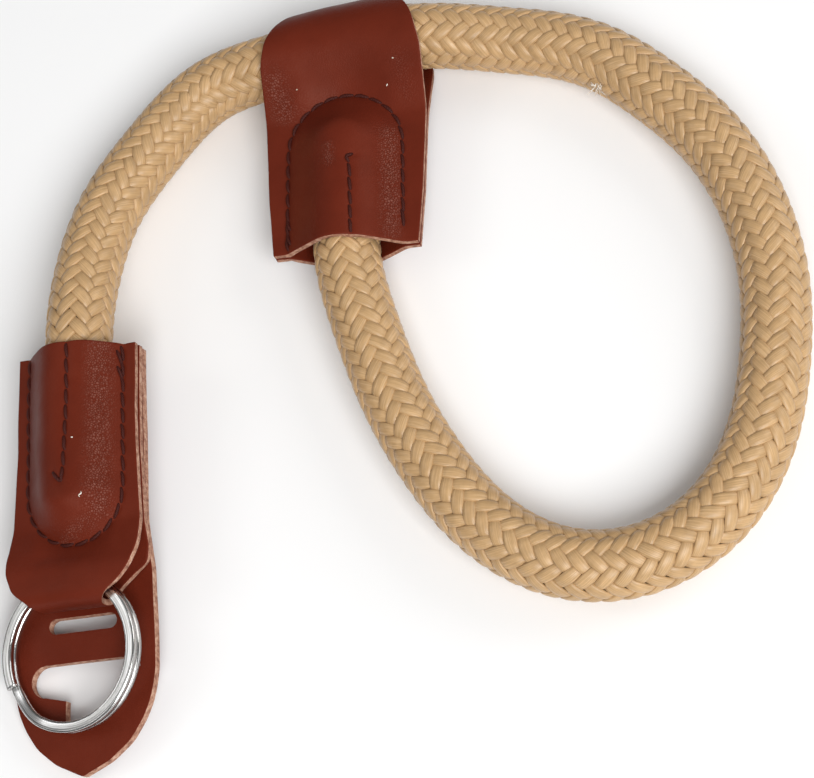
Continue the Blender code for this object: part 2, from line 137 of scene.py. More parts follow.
# Creases pressed into a front ply: start x, y, end x, y, depth and half width, in mm
SLIDER_CREASES = (
    (-12.6, 30.5, -9.6, 28.6, 0.10, 0.35),
    (-12.4, 28.9, -8.8, 27.2, 0.12, 0.40),
    (-12.3, 27.2, -9.4, 26.0, 0.10, 0.35),
    (-12.2, 25.6, -9.9, 24.8, 0.08, 0.35),
    (7.0, 31.0, 11.5, 28.8, 0.07, 0.60),
)
TAB_CREASES = ((6.5, 33.5, -6.5, 34.5, 0.05, 1.2),)

# Worn patches of a front ply, where the grain is open and the leather is painted lighter, partly scuffing
# and partly painted highlight: start x, y, end x, y, half width in mm, amount
SLIDER_WEAR_AND_SHEEN = (
    (7.4, 1.5, 7.2, 18.5, 1.7, 1.0),
    (-11.0, 29.5, -10.0, 25.5, 2.6, 0.9),
    (-1.2, 13.0, -1.4, 15.5, 1.2, 0.8),
    (9.5, 31.0, 10.5, 26.0, 1.6, 0.4),
)
TAB_WEAR_AND_SHEEN = (
    (-5.6, 1.0, -5.9, 26.5, 1.9, 1.0),
    (-4.5, 28.0, 0.5, 30.6, 1.4, 0.7),
    (6.6, 2.0, 6.6, 26.0, 0.9, 0.3),
)

# Centre seam of each piece, with the small hook at its end: x and the distance from the mouth, in mm
SLIDER_CENTRE = ((2.0, 0.3), (1.9, 11.9), (1.4, 13.3), (2.6, 13.8))
TAB_CENTRE = ((-1.0, 0.3), (-1.1, 8.5), (-0.7, 21.6), (-0.3, 23.0), (1.0, 21.0))

# How far the tab leans to the side: distance from the mouth and shift, in metres
TAB_LEAN = (
    (0.0, 0.0003), (0.010, 0.0004), (0.024, 0.0008), (0.032, 0.0010), (0.0365, 0.0006), (0.039, 0.0),
)

# How far inside the meeting of the plies a seam runs, and the softening of a cut edge, in metres
SEAM_INSET = 0.0001
EDGE_BEVEL = 0.00013
# Points along a strip, from one mouth round the fold to the other
STRIP_ROWS = 250
# Grooves pressed in by the thread of the seam and of the centre seam: depth and half width, in metres
SEAM_GROOVE = (0.00020, 0.00055)
CENTRE_GROOVE = (0.00020, 0.0005)
# The dent along the centre seam, in metres: half width, the length it fades out over, and its depths
DENT_HALF_WIDTH = 0.0021
DENT_FADE = 0.008
SLIDER_DENT = 0.00024
TAB_DENT = 0.0004

# One stitch: share of its length, and height over the leather in thread widths
STITCH = ((0.0, -0.55), (0.1, -0.05), (0.3, 0.30), (0.5, 0.38), (0.7, 0.30), (0.9, -0.05), (1.0, -0.55))

# The share of a stitch left free at each of its ends
STITCH_GAP = 0.01
# How far to either side of a point the seam's direction is read, in metres
SEAM_STEP = 0.0004
# How far off a piece's middle plane a line down on its leather starts, in metres
OFF_LEATHER = 0.03
# Where a seam's end is sewn over twice: shift aside from it and distance from the mouth, in metres
TWICE_LEFT = ((0.0003, 0.0012), (0.0001, 0.0064))
TWICE_RIGHT = ((-0.0003, 0.0030), (0.0002, 0.0056))

# Where the rope is nicked, in mm, and lint on the leather: x, y, turn in degrees, length in mm
ROPE_NICK = (31.9, 41.6, 7.0)
FRAYED_FIBRES = 15
SLIDER_LINT = ((8.7, 30.9, 20.0, 0.28), (7.3, 27.2, 70.0, 0.36), (-7.5, 28.1, 40.0, 0.26))
TAB_LINT = ((-4.1, 25.0, 75.0, 0.9), (-2.7, 15.9, 30.0, 0.3))
# The bend of one piece of lint: share of its length along it and to its side
LINT_BEND = ((-0.5, 0.0), (-0.15, 0.16), (0.2, -0.12), (0.5, 0.05))

# Soft lights: name, place in metres, watts, width and height in metres
SOFTBOXES = (
    ("softbox_key", (0.38, -0.68, 0.82), 12.9, 0.8, 0.6),
    ("softbox_left", (-0.60, 0.05, 0.60), 0.6, 0.3, 0.3),
    ("softbox_right", (0.70, 0.33, 0.44), 2.2, 0.5, 0.5),
)
# The camera: the point it looks at, the way from there to it, its distance, and its lens in mm
CAMERA_TARGET = (0.00094, -0.00562, 0.00535)
CAMERA_WAY = (0.216, -0.375, 0.90)
CAMERA_DISTANCE = 0.357
CAMERA_LENS = 103.2


def a_length(name, description, default):
    return bpy.props.FloatProperty(name=name, description=description, default=default, unit="LENGTH")


def a_colour(name, description, default):
    values = {"name": name, "description": description, "default": default, "subtype": "COLOR"}
    return bpy.props.FloatVectorProperty(**values)


class StrapSizes(bpy.types.PropertyGroup):
    """Sizes of the strap's pieces."""

    rope_diameter: a_length("Rope", "Thickness of the braided rope", 0.0107)
    carriers: bpy.props.IntProperty(
        name="Strands", description="Strands of the braid that turn each way", default=12, min=4
    )
    braid_lead: a_length("Braid lead", "Rope length of one turn", 0.0305)
    strand_width: a_length("Strand width", "Width of a flat strand", 0.0021)
    strand_thickness: a_length("Strand thickness", "Thickness of a strand", 0.0008)
    strip_leather: a_length("Strip leather", "Thickness of the strips", 0.0011)
    flap_leather: a_length("Flap leather", "Thickness of the flap", 0.0014)
    stitch_pitch: a_length("Stitch pitch", "Length of one stitch", 0.0026)
    thread_width: a_length("Thread", "Thickness of the thread", 0.00054)


class StrapColours(bpy.types.PropertyGroup):
    """Colours of the strap's finishes."""

    rope: a_colour("Rope", "Braid", (0.556, 0.345, 0.160))
    leather: a_colour("Leather", "Grain side", (0.129, 0.0178, 0.0078))
    cut_edge: a_colour("Cut edge", "Raw edge", (0.39, 0.190, 0.120))
    thread: a_colour("Thread", "Seams", (0.052, 0.0085, 0.0055))
    steel: a_colour("Steel", "Split ring", (0.74, 0.73, 0.71))


def sizes():
    return bpy.context.scene.strap_sizes


def colours():
    return bpy.context.scene.strap_colours


# Node materials. Each helper adds its nodes to the tree that the node or socket it is given is in.


def new_material(name, colour, roughness, **values):
    """A new material and its shader, with values for the shader's other inputs."""
    material = bpy.data.materials.new(name)
    material.use_nodes = True
    shader = material.node_tree.nodes["Principled BSDF"]
    values.update(Base_Color=(*colour, 1.0), Roughness=roughness)
    set_values(shader, values)
    return material, shader


def set_values(node, values):
    """Sets a node's own settings, or else the inputs of these names, with _ for a space."""
    for name, value in values.items():
        if hasattr(node, name):
            setattr(node, name, value)
        else:
            node.inputs[name.replace("_", " ")].default_value = value


def add_node(near, kind, **values):
    node = near.id_data.nodes.new("ShaderNode" + kind)
    set_values(node, values)
    return node


def link(source, target):
    target.id_data.links.new(source, target)


def coordinates(near, output="Object", scale=(1.0, 1.0, 1.0)):
    """Texture coordinates stretched by a scale on each axis."""
    mapping = add_node(near, "Mapping", Scale=scale)
    link(add_node(near, "TexCoord").outputs[output], mapping.inputs["Vector"])
    return mapping.outputs["Vector"]


def texture(space, kind, **values):
    """The value of a texture read at these coordinates."""
    node = add_node(space, "Tex" + kind, **values)
    link(space, node.inputs["Vector"])
    return node.outputs["Distance" if kind == "Voronoi" else "Fac"]


def noise(space, scale, detail, roughness):
    return texture(space, "Noise", Scale=scale, Detail=detail, Roughness=roughness)


def attribute(near, name):
    return add_node(near, "Attribute", attribute_name=name).outputs["Fac"]


def ramp(source, *stops):
    """Colours read along a value: each stop is a position and a colour or a grey."""
    node = add_node(source, "ValToRGB")
    elements = node.color_ramp.elements
    while len(elements) < len(stops):
        elements.new(0.5)
    for element, (position, colour) in zip(elements, stops):
        element.position = position
        element.color = (*(colour if isinstance(colour, tuple) else (colour,) * 3), 1.0)
    link(source, node.inputs["Fac"])
    return node.outputs["Color"]


def shade(colour, factor):
    return tuple(channel * factor for channel in colour)


def multiplied(first, second):
    """Two values multiplied."""
    node = add_node(first, "Math", operation="MULTIPLY")
    link(first, node.inputs[0])
    link(second, node.inputs[1])
    return node.outputs["Value"]


def mixed(factor, first, second, kind="MIX"):
    """Two colours mixed by a factor. The factor and the second are values or outputs of nodes."""
    node = add_node(first, "Mix", data_type="RGBA", blend_type=kind)
    link(first, node.inputs[6])
    for socket, value in ((node.inputs["Factor"], factor), (node.inputs[7], second)):
        if isinstance(value, bpy.types.NodeSocket):
            link(value, socket)
        else:
            socket.default_value = value
    return node.outputs[2]


def bumps(shader, *layers):
    """Stacks bump layers of (height socket, strength, distance) on the shader's normal."""
    target = shader.inputs["Normal"]
    for height, strength, distance in reversed(layers):
        node = add_node(shader, "Bump", Strength=strength, Distance=distance)
        link(height, node.inputs["Height"])
        link(node.outputs["Normal"], target)
        target = node.inputs["Normal"]


def leather_material():
    """Smooth semi-gloss leather: fine pebble grain that opens up where its point attribute is high, with
    a lighter colour there that is partly scuffing and partly painted highlight.
    """
    colour = tuple(colours().leather)
    shine = {"Specular_IOR_Level": 0.16, "Specular_Tint": (1.0, 0.60, 0.48, 1.0)}
    material, shader = new_material("leather_grain", colour, 0.34, **shine)
    space = coordinates(shader)
    pebble = texture(space, "Voronoi", feature="DISTANCE_TO_EDGE", Scale=2700.0, Randomness=1.0)
    grain = ramp(pebble, (0.0, 0.0), (0.25, 1.0))
    open_grain_and_sheen = multiplied(attribute(shader, "wear_and_sheen"), grain)
    stops = ((0.30, shade(colour, 0.86)), (0.55, colour), (0.78, (0.143, 0.0220, 0.0102)))
    cloud = ramp(noise(space, 110.0, 4.0, 0.6), *stops)
    speck = noise(space, 1500.0, 4.0, 0.65)
    # Painted highlight and scuffing together: the open grain is painted a lighter mauve, partly the
    # colour of scuffed leather and partly the sheen that the flanks catch.
    rubbed_and_sheen = ramp(multiplied(open_grain_and_sheen, speck), (0.14, 0.0), (0.60, 1.0))
    link(mixed(rubbed_and_sheen, cloud, (0.225, 0.080, 0.058, 1.0)), shader.inputs["Base Color"])
    link(ramp(noise(space, 160.0, 2.0, 0.5), (0.35, 0.40), (0.70, 0.54)), shader.inputs["Roughness"])
    bumps(
        shader,
        (noise(space, 300.0, 2.0, 0.5), 0.16, 0.0005),
        (grain, 0.22, 0.00006),
        (open_grain_and_sheen, 0.60, 0.00012),
        (noise(space, 5200.0, 3.0, 0.6), 0.22, 0.00006),
    )
    return material


def toned_material(name, colour, roughness, grain, stops, bump, space=(), **values):
    """A material whose one texture gives both its tones and its bump, of this strength and distance."""
    material, shader = new_material(name, colour, roughness, **values)
    height = texture(coordinates(shader, *space), **grain)
    link(ramp(height, *stops), shader.inputs["Base Color"])
    bumps(shader, (height, *bump))
    return material


def edge_material():
    """Raw cut leather: pale, rough and fibrous, with darker flecks of dye."""
    colour = tuple(colours().cut_edge)
    stops = ((0.36, (0.16, 0.058, 0.034)), (0.50, colour), (0.64, (0.57, 0.37, 0.27)))
    grain = {"kind": "Noise", "Scale": 1000.0, "Detail": 6.0, "Roughness": 0.75}
    return toned_material("leather_cut_edge", colour, 0.9, grain, stops, (0.6, 0.0002))


def thread_material():
    """Dark waxed thread with the twist of its plies."""
    colour = tuple(colours().thread)
    stops = ((0.2, shade(colour, 0.6)), (0.8, shade(colour, 1.5)))
    grain = {"kind": "Wave", "bands_direction": "DIAGONAL", "Scale": 1.6}
    bump, shine = (0.5, 0.0001), {"Specular_IOR_Level": 0.2}
    return toned_material("dark_thread", colour, 0.6, grain, stops, bump, ("UV",), **shine)


def strand_material():
    """Silky strands of fine filaments. The UV runs along and across each strand, in metres."""
    colour = tuple(colours().rope)
    shine = {"Anisotropic": 0.4, "Sheen_Weight": 0.05, "Sheen_Roughness": 0.4, "Specular_IOR_Level": 0.5}
    material, shader = new_material("rope_strands", colour, 0.38, **shine)
    filament = noise(coordinates(shader, "UV", (170.0, 7000.0, 1.0)), 1.0, 3.0, 0.6)
    tone = ramp(filament, (0.34, shade(colour, 0.84)), (0.50, colour), (0.66, (0.665, 0.437, 0.223)))
    # The crest attribute is 1 on top of a float and falls to 0 where it dives and at its sides. The depth
    # ramp darkens the colour there: painted shade.
    depth = ramp(attribute(shader, "crest"), (0.0, 0.40), (0.36, 0.90), (1.0, 1.0))
    tint = ramp(noise(coordinates(shader), 380.0, 3.0, 0.6), (0.34, 0.84), (0.66, 1.0))
    tone = mixed(1.0, mixed(1.0, tone, depth, "MULTIPLY"), tint, "MULTIPLY")
    link(tone, shader.inputs["Base Color"])
    bumps(shader, (filament, 0.45, 0.00008))
    along = add_node(shader, "Tangent", direction_type="UV_MAP", uv_map="along_across")
    link(along.outputs["Tangent"], shader.inputs["Tangent"])
    return material


def core_material():
    """The inside of the braid, which shows between the strands, coloured dark as painted shade."""
    colour = (0.17, 0.088, 0.034)
    stops = ((0.3, shade(colour, 0.5)), (0.7, colour))
    grain = {"kind": "Noise", "Scale": 2600.0, "Detail": 3.0, "Roughness": 0.6}
    return toned_material("rope_inside", colour, 0.9, grain, stops, (0.5, 0.0002))


def steel_material(name, roughness, streak):
    """Nickel-plated wire with fine drawn streaks along it. The UV runs along and around it."""
    colour = tuple(colours().steel)
    stops = ((0.36, shade(colour, 0.38)), (0.50, shade(colour, 0.85)), (0.62, 0.92))
    grain = {"kind": "Noise", "Scale": 1.0, "Detail": 3.0, "Roughness": 0.6}
    space = ("UV", (45.0, 3600.0, 1.0))
    bump = (streak, 0.00012)
    return toned_material(name, colour, roughness, grain, stops, bump, space, Metallic=1.0)


def floor_material():
    """Matt white paper with a trace of tooth."""
    material, shader = new_material("studio_paper", (0.93, 0.93, 0.93), 0.9)
    bumps(shader, (noise(coordinates(shader), 900.0, 2.0, 0.5), 0.03, 0.0001))
    return material


def shared(name, make):
    """The material of this name, made when it is first asked for."""
    return bpy.data.materials.get(name) or make()


# Shared shape helpers


def share_at(rows, distance):
    table = np.array(rows)
    return np.interp(distance, table[:, 0], table[:, 1])


def frame_matrix(place, angles):
    turn = Euler([math.radians(angle) for angle in angles], "YXZ").to_matrix().to_4x4()
    return Matrix.Translation(place) @ turn


def carry(matrix, points):
    """Points moved by a matrix."""
    array = np.array(matrix)
    return np.asarray(points) @ array[:3, :3].T + array[:3, 3]


def travelled(line):
    """How far along a line each of its points is."""
    return np.concatenate([[0.0], np.cumsum(np.linalg.norm(np.diff(line, axis=0), axis=1))])


def natural_spline(points, fine=24):
    """A smooth curve through the points, with this many steps between two of them."""
    points = np.array(points, float)
    spans = np.diff(travelled(points))
    count = len(points)
    system = np.eye(count)
    turns = np.zeros((count, 3))
    for i in range(1, count - 1):
        system[i, i - 1 : i + 2] = spans[i - 1], 2 * (spans[i - 1] + spans[i]), spans[i]
        before = (points[i] - points[i - 1]) / spans[i - 1]
        after = (points[i + 1] - points[i]) / spans[i]
        turns[i] = 6 * (after - before)
    bends = np.linalg.solve(system, turns)
    line = []
    for i, span in enumerate(spans):
        for share in np.linspace(0.0, 1.0, fine, endpoint=False):
            a, b = 1.0 - share, share
            pull = (a**3 - a) * bends[i] + (b**3 - b) * bends[i + 1]
            line.append(a * points[i] + b * points[i + 1] + pull * span**2 / 6)
    return np.array(line + [points[-1]])


def evenly(line, count):
    """The same line with this many points, evenly spaced."""
    along = travelled(line)
    stops = np.linspace(0.0, along[-1], count)
    return np.stack([np.interp(stops, along, line[:, i]) for i in range(line.shape[1])], axis=1)


def length_of(line):
    return float(np.linalg.norm(np.diff(line, axis=0), axis=1).sum())


def unit(rows):
    return rows / np.linalg.norm(rows, axis=-1)[..., None]


def tube_faces(base, rows, sides):
    """Faces of a closed tube made of rows of points, the first of which has this number."""
    start = base + np.arange(rows - 1)[:, None] * sides
    around = np.arange(sides)[None, :]
    first, second = start + around, start + (around + 1) % sides
    quads = np.stack([first, second, second + sides, first + sides], axis=-1).reshape(-1, 4)
    last = base + (rows - 1) * sides
    return [*quads.tolist(), list(range(base, base + sides))[::-1], list(range(last, last + sides))]


def mesh_object(name, points, faces, materials, coords=None, indices=None):
    """A smooth-shaded mesh, with a UV for each point and a material index for each face."""
    mesh = bpy.data.meshes.new(name)
    mesh.from_pydata([tuple(p) for p in points], [], [tuple(f) for f in faces])
    if coords is not None:
        layer = mesh.uv_layers.new(name="along_across")
        corner = np.empty(len(mesh.loops), np.int32)
        mesh.loops.foreach_get("vertex_index", corner)
        layer.data.foreach_set("uv", np.asarray(coords, np.float32)[corner].ravel())
    for material in materials:
        mesh.materials.append(material)
    if indices is not None:
        mesh.polygons.foreach_set("material_index", np.asarray(indices, np.int32))
    obj = bpy.data.objects.new(name, mesh)
    bpy.context.scene.collection.objects.link(obj)
    mesh.shade_smooth()
    return obj


def deselect():
    bpy.ops.object.select_all(action="DESELECT")


def make_active(obj):
    deselect()
    obj.select_set(True)
    bpy.context.view_layer.objects.active = obj


def apply_modifier(obj, kind, **values):
    make_active(obj)
    bpy.ops.object.modifier_add(type=kind)
    modifier = obj.modifiers[-1]
    for name, value in values.items():
        setattr(modifier, name, value)
    bpy.ops.object.modifier_apply(modifier=modifier.name)


# The rope


def straight_rope(matrix, end, lead):
    places = [(0.0, y, 0.0) for y in np.linspace(end, 0.0, 4)]
    if lead:
        places.append((0.0, -lead, 0.0))
    return [tuple(p) for p in carry(matrix, places)]


def rope_route():
    """The rope's middle line, from its end in the tab to its end in the slider."""
    radius = sizes().rope_diameter / 2
    tab, slider = tab_strip(), slider_strip()
    tab_matrix = frame_matrix(TAB_PLACE, TAB_ANGLES)
    slider_matrix = frame_matrix(SLIDER_PLACE, SLIDER_ANGLES)

    def lying(rows):
        return [(x * MM, y * MM, radius + lift * MM) for x, y, lift in rows]

    eye = [(x * MM, slider.fold_y + slider.fold_shift(x * MM, slider.fold_y), 0.0) for x in EYE_PLACES]
    route = straight_rope(tab_matrix, tab.pocket + ROPE_IN_ARCH * MM, ROPE_LEAD * MM)
    route += lying(ROUTE_TAB_TO_EYE)
    route += [tuple(p) for p in carry(slider_matrix, eye)]
    route += lying(ROUTE_EYE_TO_SLIDER)
    route += straight_rope(slider_matrix, slider.pocket + ROPE_IN_ARCH * MM, 0.0)[::-1]
    line = natural_spline(route)
    line[:, 2] = np.maximum(line[:, 2], radius)
    return line


def carried_frames(line):
    """Two directions across the line at each point, which don't twist along it."""
    tangents = unit(np.gradient(line, axis=0))
    side = np.cross(tangents[0], (0.0, 0.0, 1.0))
    sides = np.empty_like(line)
    for i, tangent in enumerate(tangents):
        side = side - tangent * side.dot(tangent)
        side = side / np.linalg.norm(side)
        sides[i] = side
    return sides, np.cross(sides, tangents)


class STRAP_OT_rope_core(bpy.types.Operator):
    bl_idname = "strap.rope_core"
    bl_label = "Rope Core"

    def execute(self, context):
        line = rope_route()
        points = evenly(line, CORE_POINTS)
        curve = bpy.data.curves.new("rope_core", "CURVE")
        curve.dimensions = "3D"
        curve.bevel_depth = sizes().rope_diameter / 2 - CORE_INSET
        curve.bevel_resolution = 4
        curve.use_fill_caps = True
        spline = curve.splines.new("POLY")
        spline.points.add(len(points) - 1)
        for point, place in zip(spline.points, points):
            point.co = (*place, 1.0)
        core = bpy.data.objects.new("rope_core", curve)
        context.scene.collection.objects.link(core)
        curve.materials.append(core_material())
        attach(core, "strap")
        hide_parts("rope")
        braid = [braid_family(+1, line), braid_family(-1, line)]
        return {"FINISHED"}


def strand_section():
    """Points round a flat strand with full edges, across it and up from it."""
    size = sizes()
    rows = []
    for k in range(STRAND_SIDES):
        angle = 2 * math.pi * k / STRAND_SIDES
        wide = math.copysign(abs(math.cos(angle)) ** 0.9, math.cos(angle))
        tall = math.copysign(abs(math.sin(angle)) ** 0.85, math.sin(angle))
        rows.append((wide * size.strand_width / 2, tall * size.strand_thickness / 2))
    return np.array(rows)


def braid_family(direction, line):
    """The strands that turn one way: flat, each over two and under two of the others."""
    size = sizes()
    count, lead = size.carriers, size.braid_lead
    length = length_of(line)
    steps = int(round(length / lead * count / 2 * WAVE_POINTS)) + 1
    fine = evenly(line, steps)
    across, up = carried_frames(fine)
    run = np.linspace(0.0, length, steps)
    middle = size.rope_diameter / 2 - size.strand_thickness * 0.5 - STRAND_SWING
    section = strand_section()
    # Painted shade: a strand's colour is darkened towards its edges.
    side_shade = 1.0 - 0.5 * (np.abs(section[:, 0]) / (size.strand_width / 2)) ** 3
    points, coords, crests, faces = [], [], [], []
    for strand in range(count):
        theta = 2 * math.pi * strand / count + direction * 2 * math.pi * run / lead
        phase = np.cos(count / 2 * (theta - math.pi / (2 * count)))
        # The wave's crests are flattened, as a float lies straight over two strands.
        wave = np.tanh(2.0 * phase) / math.tanh(2.0) * direction
        out = np.cos(theta)[:, None] * across + np.sin(theta)[:, None] * up
        path = fine + (middle + STRAND_SWING * wave)[:, None] * out
        ahead = unit(np.gradient(path, axis=0))
        sideways = unit(np.cross(ahead, out))
        above = np.cross(sideways, ahead)
        # A strand is widest in the middle of a float and narrower and thinner where it dives.
        wide = section[:, 0] * (0.88 + 0.12 * phase * direction)[:, None]
        tall = section[:, 1] * (0.9 + 0.1 * wave)[:, None]
        ring = path[:, None] + wide[..., None] * sideways[:, None] + tall[..., None] * above[:, None]
        points.append(ring.reshape(-1, 3))
        # Each strand reads its own stretch of the filament texture.
        uv = np.empty((steps, STRAND_SIDES, 2))
        uv[:, :, 0] = travelled(path)[:, None] + strand * 0.37
        uv[:, :, 1] = section[:, 0] + strand * 0.011
        coords.append(uv.reshape(-1, 2))
        # Painted shade: the crest value darkens the colour where a strand dives and at its sides.
        crests.append(((0.5 + 0.5 * wave)[:, None] * side_shade).ravel())
        faces += tube_faces(strand * steps * STRAND_SIDES, steps, STRAND_SIDES)
    name = "braid_right" if direction > 0 else "braid_left"
    material = shared("rope_strands", strand_material)
    braid = mesh_object(name, np.concatenate(points), faces, [material], np.concatenate(coords))
    point_values(braid, "crest", np.concatenate(crests))
    outward(braid)
    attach(braid, "strap")
    return braid


def point_values(obj, name, values):
    """A named value for each point of a mesh, for its material."""
    layer = obj.data.attributes.new(name, "FLOAT", "POINT")
    layer.data.foreach_set("value", values.reshape(-1).astype(np.float32))


def outward(obj):
    make_active(obj)
    bpy.ops.object.mode_set(mode="EDIT")
    bpy.ops.mesh.select_all(action="SELECT")
    bpy.ops.mesh.normals_make_consistent(inside=False)
    bpy.ops.object.mode_set(mode="OBJECT")


# The leather


class FoldedStrip:
    """The middle surface of a strip folded over at +Y, with a sewn rope pocket open at y = 0."""

    def __init__(self, width, stitch, pocket, fold_y, radius, room, squareness, turn, bend):
        self.half_width = width / 2
        self.stitch = stitch / 2
        self.pocket = pocket
        self.fold_y = fold_y
        self.fold_radius = radius
        self.fold_room = room
        self.squareness = squareness
        self.turn = math.tan(math.radians(turn))
        self.bend = bend
        leather = sizes().strip_leather
        self.flat = (leather + FIT_GAP) / 2
        self.bulge = (sizes().rope_diameter + leather) / 2 + FIT_GAP
        reach = math.hypot(self.stitch, self.flat)
        self.slope = math.asin(self.bulge / reach) - math.atan2(self.flat, self.stitch)

    def seam(self, behind):
        return self.stitch + behind * math.tan(self.slope / 2)

    def columns(self, behind=0.0):
        """Columns across the strip: distance from its middle line, and share of the margin."""
        round_end = (self.bulge + behind) * math.sin(self.slope)
        seam = self.seam(behind)
        inner = [round_end * share for share in np.linspace(0.0, 1.0, 12, endpoint=False)]
        inner += [round_end + (seam - round_end) * s for s in np.linspace(0.0, 1.0, 10, endpoint=False)]
        half = [(place, 0.0) for place in inner]
        half += [(seam, share) for share in np.linspace(0.0, 1.0, 7)]
        return [(-place, share) for place, share in half[:0:-1]] + half

    def pocket_height(self, x, y, behind):
        """How far the strip stands off its middle plane over the pocket."""
        flat = self.flat + behind
        bulge = self.bulge + behind
        seam = self.seam(behind)
        rise = math.tan(self.slope)
        if abs(x) < bulge * math.sin(self.slope):
            over_rope = math.sqrt(bulge**2 - x**2)
        else:
            over_rope = flat + rise * max(seam - abs(x), 0.0)
        inside = seam - math.hypot(x, max(y - self.pocket, 0.0))
        return min(over_rope, flat + rise * max(inside, 0.0))

    def parting(self, share, behind):
        """Where the plies part past the pocket: distance from the mouth, height, and slope from there."""
        arch = math.sqrt(1.0 - share**2)
        meets = self.pocket + max(arch, PLIES_PART) * self.stitch
        near = self.fold_y - self.fold_room
        reach = math.hypot(near - meets, self.flat)
        up = math.asin(self.fold_radius / reach) - math.atan2(self.flat, near - meets)
        down = math.atan(arch * math.tan(self.slope)) if arch > PLIES_PART else 0.0
        along = (1 / math.cos(down) - 1 / math.cos(up)) / (math.tan(down) + math.tan(up))
        rise = along * math.tan(up) + 1 / math.cos(up)
        return meets + along * behind, self.flat + rise * behind, up

    def section(self, x, behind=0.0):
        """One lengthwise section as (y, z) points, from the mouth to the fold's outermost point."""
        seam = self.seam(behind)
        radius = self.fold_radius + behind
        near = self.fold_y - self.fold_room
        x = min(abs(x), seam)
        over_rope = self.pocket_height(x, 0.0, behind)
        meets, valley, lean = self.parting(x / seam, behind)
        points = []
        for y in np.linspace(0.0, meets, 60, endpoint=False):
            floor = valley if y > self.pocket else 0.0
            height = over_rope if y <= self.pocket else self.pocket_height(x, y, behind)
            points.append((y, max(height, floor)))
        touch = (near - radius * math.sin(lean), radius * math.cos(lean))
        for share in np.linspace(0.0, 1.0, 12, endpoint=False):
            y = meets + (touch[0] - meets) * share
            points.append((y, valley + (touch[1] - valley) * share))
        for turn in np.linspace(-lean, 0.0, 8):
            points.append((near + radius * math.sin(turn), radius * math.cos(turn)))
        for turn in np.linspace(0.0, math.pi / 2, 20)[0 if self.fold_room else 1 :]:
            out = math.sin(turn) ** (2 / self.squareness)
            tall = max(math.cos(turn), 0.0) ** (2 / self.squareness)
            points.append((self.fold_y + radius * out, radius * tall))
        return points

    def from_fold(self, y):
        """Distance from the outermost line of the fold, as a share of the ply's length."""
        past = min(max(y - self.fold_y, 0.0) / self.fold_radius, 1.0)
        length = self.fold_radius * (math.pi / 2 - math.asin(past)) + max(self.fold_y - y, 0.0)
        return length / (self.fold_y + self.fold_radius * math.pi / 2)

    def across(self, column, half_width):
        """Where a column lies on a strip of this half width."""
        place, share = column
        side = math.copysign(1.0, place)
        seam = abs(place) if share else self.stitch
        squeeze = min(half_width / (LEAST_MARGIN * seam), 1.0)
        return side * (abs(place) * squeeze + share * (half_width - seam * squeeze))

    def fold_shift(self, x, y):
        """How far the fold's turn and its bend move a point along the strip."""
        start = self.pocket + self.stitch
        share = min(max((y - start) / (self.fold_y - self.fold_room - start), 0.0), 1.0)
        return share * (self.turn * x - self.bend * x**2 / 2)

    def folded(self, front_waist, back_waist):
        """Lengthwise lines of the whole strip, from one mouth round the fold to the other."""
        lines = []
        for column in self.columns():
            section = self.section(column[0])
            line = []
            for waist, side, rows in ((front_waist, 1, section), (back_waist, -1, section[-2::-1])):
                for y, z in rows:
                    x = self.across(column, self.half_width * share_at(waist, self.from_fold(y)))
                    line.append((x, y + self.fold_shift(x, y), side * z))
            lines.append(np.array(line))
        return lines


def slider_strip():
    return FoldedStrip(
        width=0.0264,
        stitch=0.0188,
        pocket=0.0176,
        fold_y=0.037,
        radius=(sizes().rope_diameter + sizes().strip_leather) / 2 + EYE_ROOM,
        room=0.0,
        squareness=2.0,
        turn=5.0,
        bend=1 / 0.085,
    )


def tab_strip():
    leather = sizes().strip_leather
    radius = RING_WIRE_THICKNESS + RING_COIL_GAP / 2 + TAB_FOLD_ROOM + FIT_GAP + leather / 2
    return FoldedStrip(
        width=0.0224,
        stitch=0.0166,
        pocket=0.0233,
        fold_y=TAB_LENGTH - radius - leather / 2,
        radius=radius,
        room=0.0019,
        squareness=3.2,
        turn=0.0,
        bend=0.0,
    )


def even_grid(lines, rows, columns):
    """A regular grid of points through the lengthwise lines."""
    grid = np.stack([evenly(line, rows) for line in lines], axis=1)
    return np.stack([evenly(row, columns) for row in grid], axis=0)


def relax(grid, passes):
    """Rounds off a grid's creases, as leather does, with its rim left where it is."""
    for _ in range(passes):
        grid[1:-1] = (grid[:-2] + 2 * grid[1:-1] + grid[2:]) / 4
        grid[:, 1:-1] = (grid[:, :-2] + 2 * grid[:, 1:-1] + grid[:, 2:]) / 4
    return grid


def grid_normals(grid):
    return unit(np.cross(np.gradient(grid, axis=1), np.gradient(grid, axis=0)))


def from_line(x, y, start, end):
    """Distance of points from a straight line piece."""
    sx, sy = start
    dx, dy = end[0] - sx, end[1] - sy
    share = np.clip(((x - sx) * dx + (y - sy) * dy) / (dx * dx + dy * dy), 0.0, 1.0)
    return np.hypot(x - sx - share * dx, y - sy - share * dy)


def from_path(x, y, path):
    return np.min([from_line(x, y, a, b) for a, b in zip(path, path[1:])], axis=0)


def hump(distance, half_width):
    """A smooth hump: 1 in its middle, about a third at its half width and next to nothing at twice it."""
    return np.exp(-((distance / half_width) ** 2))


def streak(grid, line, half_width):
    """A smooth hump along a line of x, y, x, y in mm, on a grid in metres."""
    x0, y0, x1, y1 = (value * MM for value in line)
    return hump(from_line(grid[..., 0], grid[..., 1], (x0, y0), (x1, y1)), half_width * MM)


def undulate(x, y):
    """Slow unevenness of hand-worked leather, in metres."""
    return (
        np.sin(x * 410 + y * 170 + 0.7) * 0.00003
        + np.sin(y * 530 - x * 260 + 2.1) * 0.00003
        + np.sin(x * 900 + y * 770) * 0.000012
    )


def seam_depth(x, y, seam):
    depth, half_width = SEAM_GROOVE
    return depth * hump(from_path(x, y, seam), half_width)


